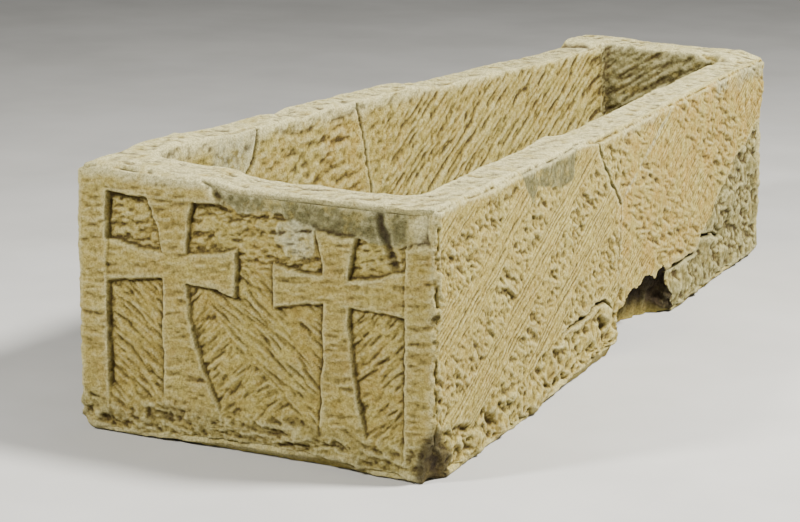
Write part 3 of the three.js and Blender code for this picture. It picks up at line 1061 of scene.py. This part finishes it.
BUFF = (0.52, 0.40, 0.092)
CREAM = (0.70, 0.61, 0.18)
OCHRE = (0.46, 0.27, 0.045)
RUST = (0.60, 0.385, 0.075)
OLIVE = (0.22, 0.22, 0.065)
GREY = (0.19, 0.185, 0.085)
CHALK = (0.74, 0.73, 0.45)
PALE = (0.95, 0.90, 0.50)
# Near-black painted shade for the cracks, the groove and the top of the gap.
CREVICE_SHADE = (0.025, 0.016, 0.01)
# Dark brown: painted shade in the gap and the low broken corner, and patina in the pits up the right corner.
SHADE_AND_PATINA_BROWN = (0.035, 0.022, 0.01)
# Painted shade for hollows.
HOLLOW_SHADE = (0.07, 0.042, 0.012)
GRAIN_SHADE = (0.34, 0.30, 0.22)
WHITE = (1.0, 1.0, 1.0)

# Each patch: its mark, its strength, and the scale, low and high of the noise that breaks it up.
PATCHES = (
    ("stain", 0.75, 17, 0.4, 0.62, RUST),
    ("grey", 0.9, 24, 0.25, 0.5, GREY),
    # Pale: on and near the rim partly wear and partly a painted highlight.
    ("pale", 0.85, 26, 0.3, 0.52, PALE),
    ("lit", 1.0, 40, 0.38, 0.55, CHALK),
    ("crest", 0.6, 50, 0.25, 0.55, PALE),
    # Hollows: painted shade, darker the deeper a point lies below its neighbours.
    ("hollow", 0.95, 60, 0.15, 0.5, HOLLOW_SHADE),
)
# Each bump: the scale of its noise, its distance in metres and its strength.
BUMPS = ((120, 0.0045, 0.9), (260, 0.0024, 0.9), (620, 0.001, 0.7))


def sandstone():
    """Buff sandstone: clouds, stains, grey places, pale places (on the rim partly a painted highlight),
    painted shade in what is cut deep, in cracks and in the gap, pores and grain.
    """
    made = Nodes("sandstone")

    def patch(mark, strength, scale, low, high):
        """A mark's share of the surface, broken up by noise."""
        share = made.math("MULTIPLY", made.attribute(mark), strength)
        return made.math("MULTIPLY", share, made.noise(scale, 6, 0.7, low, high))

    colour = made.mix(made.noise(13, 6, 0.72), BUFF, CREAM)
    for scale, low, high, tint in ((26, 0.48, 0.68, OCHRE), (34, 0.52, 0.7, OLIVE)):
        cloud = made.math("MULTIPLY", made.noise(scale, 6, 0.75, low, high), 0.6)
        colour = made.mix(cloud, colour, tint)
    for mark, strength, scale, low, high, tint in PATCHES:
        colour = made.mix(patch(mark, strength, scale, low, high), colour, tint)
    # Brown: painted shade in the gap and the low broken corner, patina in the pits up the right corner.
    colour = made.mix(made.math("MULTIPLY", made.attribute("brown"), 0.9), colour, SHADE_AND_PATINA_BROWN)
    # Painted shade in the cracks, the groove and the top of the gap.
    colour = made.mix(made.attribute("crevice_shade"), colour, CREVICE_SHADE)
    pores = made.noise(210, 5, 0.75, 0.38, 0.54)
    grain = made.noise(480, 3, 0.7, 0.36, 0.62)
    colour = made.mix(0.65, colour, made.mix(pores, GRAIN_SHADE, WHITE), "MULTIPLY")
    colour = made.mix(0.45, colour, made.mix(grain, GRAIN_SHADE, WHITE), "MULTIPLY")
    made.link(colour, made.shader.inputs["Base Color"])
    made.link(made.ranged(made.noise(60, 4), 0, 1, 0.86, 0.98), made.shader.inputs["Roughness"])
    made.shader.inputs["Specular IOR Level"].default_value = 0.25
    normal = None
    for scale, distance, strength in BUMPS:
        bump = made.add("ShaderNodeBump")
        bump.inputs["Strength"].default_value = strength
        bump.inputs["Distance"].default_value = distance
        made.link(made.noise(scale, 5, 0.7, 0.3, 0.7), bump.inputs["Height"])
        if normal:
            made.link(normal, bump.inputs["Normal"])
        normal = bump.outputs["Normal"]
    made.link(normal, made.shader.inputs["Normal"])
    return made.material


def floor_material():
    made = Nodes("studio_floor")
    colour = made.mix(made.noise(2, 3), FLOOR_DARKER, FLOOR_LIGHTER)
    made.link(colour, made.shader.inputs["Base Color"])
    made.shader.inputs["Roughness"].default_value = 0.9
    return made.material


# --- Studio -----------------------------------------------------------
# Places and sizes are in metres, the lens in millimetres, and pitch and roll in degrees.
LENS = 113.76
CAMERA_AT = (2.282, -4.8456, 1.432)
CAMERA_WAY = (-0.4603, 0.8878, 0)
CAMERA_PITCH = -13.435
CAMERA_ROLL = 0.384
FLOOR_DARKER = (0.42, 0.42, 0.41)
FLOOR_LIGHTER = (0.47, 0.47, 0.46)
FLOOR_REACH = 30.0
SKY = (0.90, 0.92, 0.95, 1.0)
SKY_STRENGTH = 0.10
# Each light: its name, place, target, size, watts and colour.
LIGHTS = (
    ("key", (3.0, 0.3, 3.7), (0.3, 0.0, 0.25), 0.8, 760, (1.0, 0.97, 0.90)),
    ("head", (-1.7, -3.9, 3.1), (0.0, -1.0, 0.3), 0.6, 330, (1.0, 0.97, 0.91)),
    ("fill", (2.6, -5.5, 2.4), (0.0, 0.0, 0.3), 3.0, 14, (0.97, 0.98, 1.0)),
)


def camera():
    data = bpy.data.cameras.new("camera")
    data.sensor_width = 36.0
    data.lens = LENS
    data.clip_end = 200.0
    made = bpy.data.objects.new("camera", data)
    pitch = math.radians(CAMERA_PITCH)
    roll = math.radians(CAMERA_ROLL)
    level = Vector(CAMERA_WAY).normalized()
    ahead = level * math.cos(pitch) + Vector((0, 0, math.sin(pitch)))
    right = ahead.cross(Vector((0, 0, 1))).normalized()
    up = right.cross(ahead)
    turned_right = right * math.cos(roll) + up * math.sin(roll)
    turned_up = up * math.cos(roll) - right * math.sin(roll)
    made.matrix_world = Matrix((turned_right, turned_up, -ahead)).transposed().to_4x4()
    made.location = CAMERA_AT
    bpy.context.scene.collection.objects.link(made)
    bpy.context.scene.camera = made


def area_light(name, place, target, size, power, colour):
    data = bpy.data.lights.new(name, "AREA")
    data.shape = "DISK"
    data.size = size
    data.energy = power
    data.color = colour
    made = bpy.data.objects.new(name, data)
    made.location = place
    made.rotation_euler = (Vector(target) - Vector(place)).to_track_quat("-Z", "Y").to_euler()
    bpy.context.scene.collection.objects.link(made)


def studio():
    mesh = bpy.data.meshes.new("studio_floor")
    reach = FLOOR_REACH
    corners = [(-reach, -reach, 0), (reach, -reach, 0), (reach, reach, 0), (-reach, reach, 0)]
    mesh.from_pydata(corners, [], [(0, 1, 2, 3)])
    mesh.materials.append(floor_material())
    made = bpy.data.objects.new("studio_floor", mesh)
    bpy.context.scene.collection.objects.link(made)
    for light in LIGHTS:
        area_light(*light)
    world = bpy.data.worlds.new("studio")
    world.use_nodes = True
    background = world.node_tree.nodes["Background"]
    background.inputs["Color"].default_value = SKY
    background.inputs["Strength"].default_value = SKY_STRENGTH
    bpy.context.scene.world = world


camera()
surface_points, surface_normals, surface_marks, surface_pieces = stone_surface()
stone = sandstone()
for piece_name, piece_faces in surface_pieces.items():
    piece(piece_name, surface_points, surface_normals, surface_marks, piece_faces, stone)
studio()
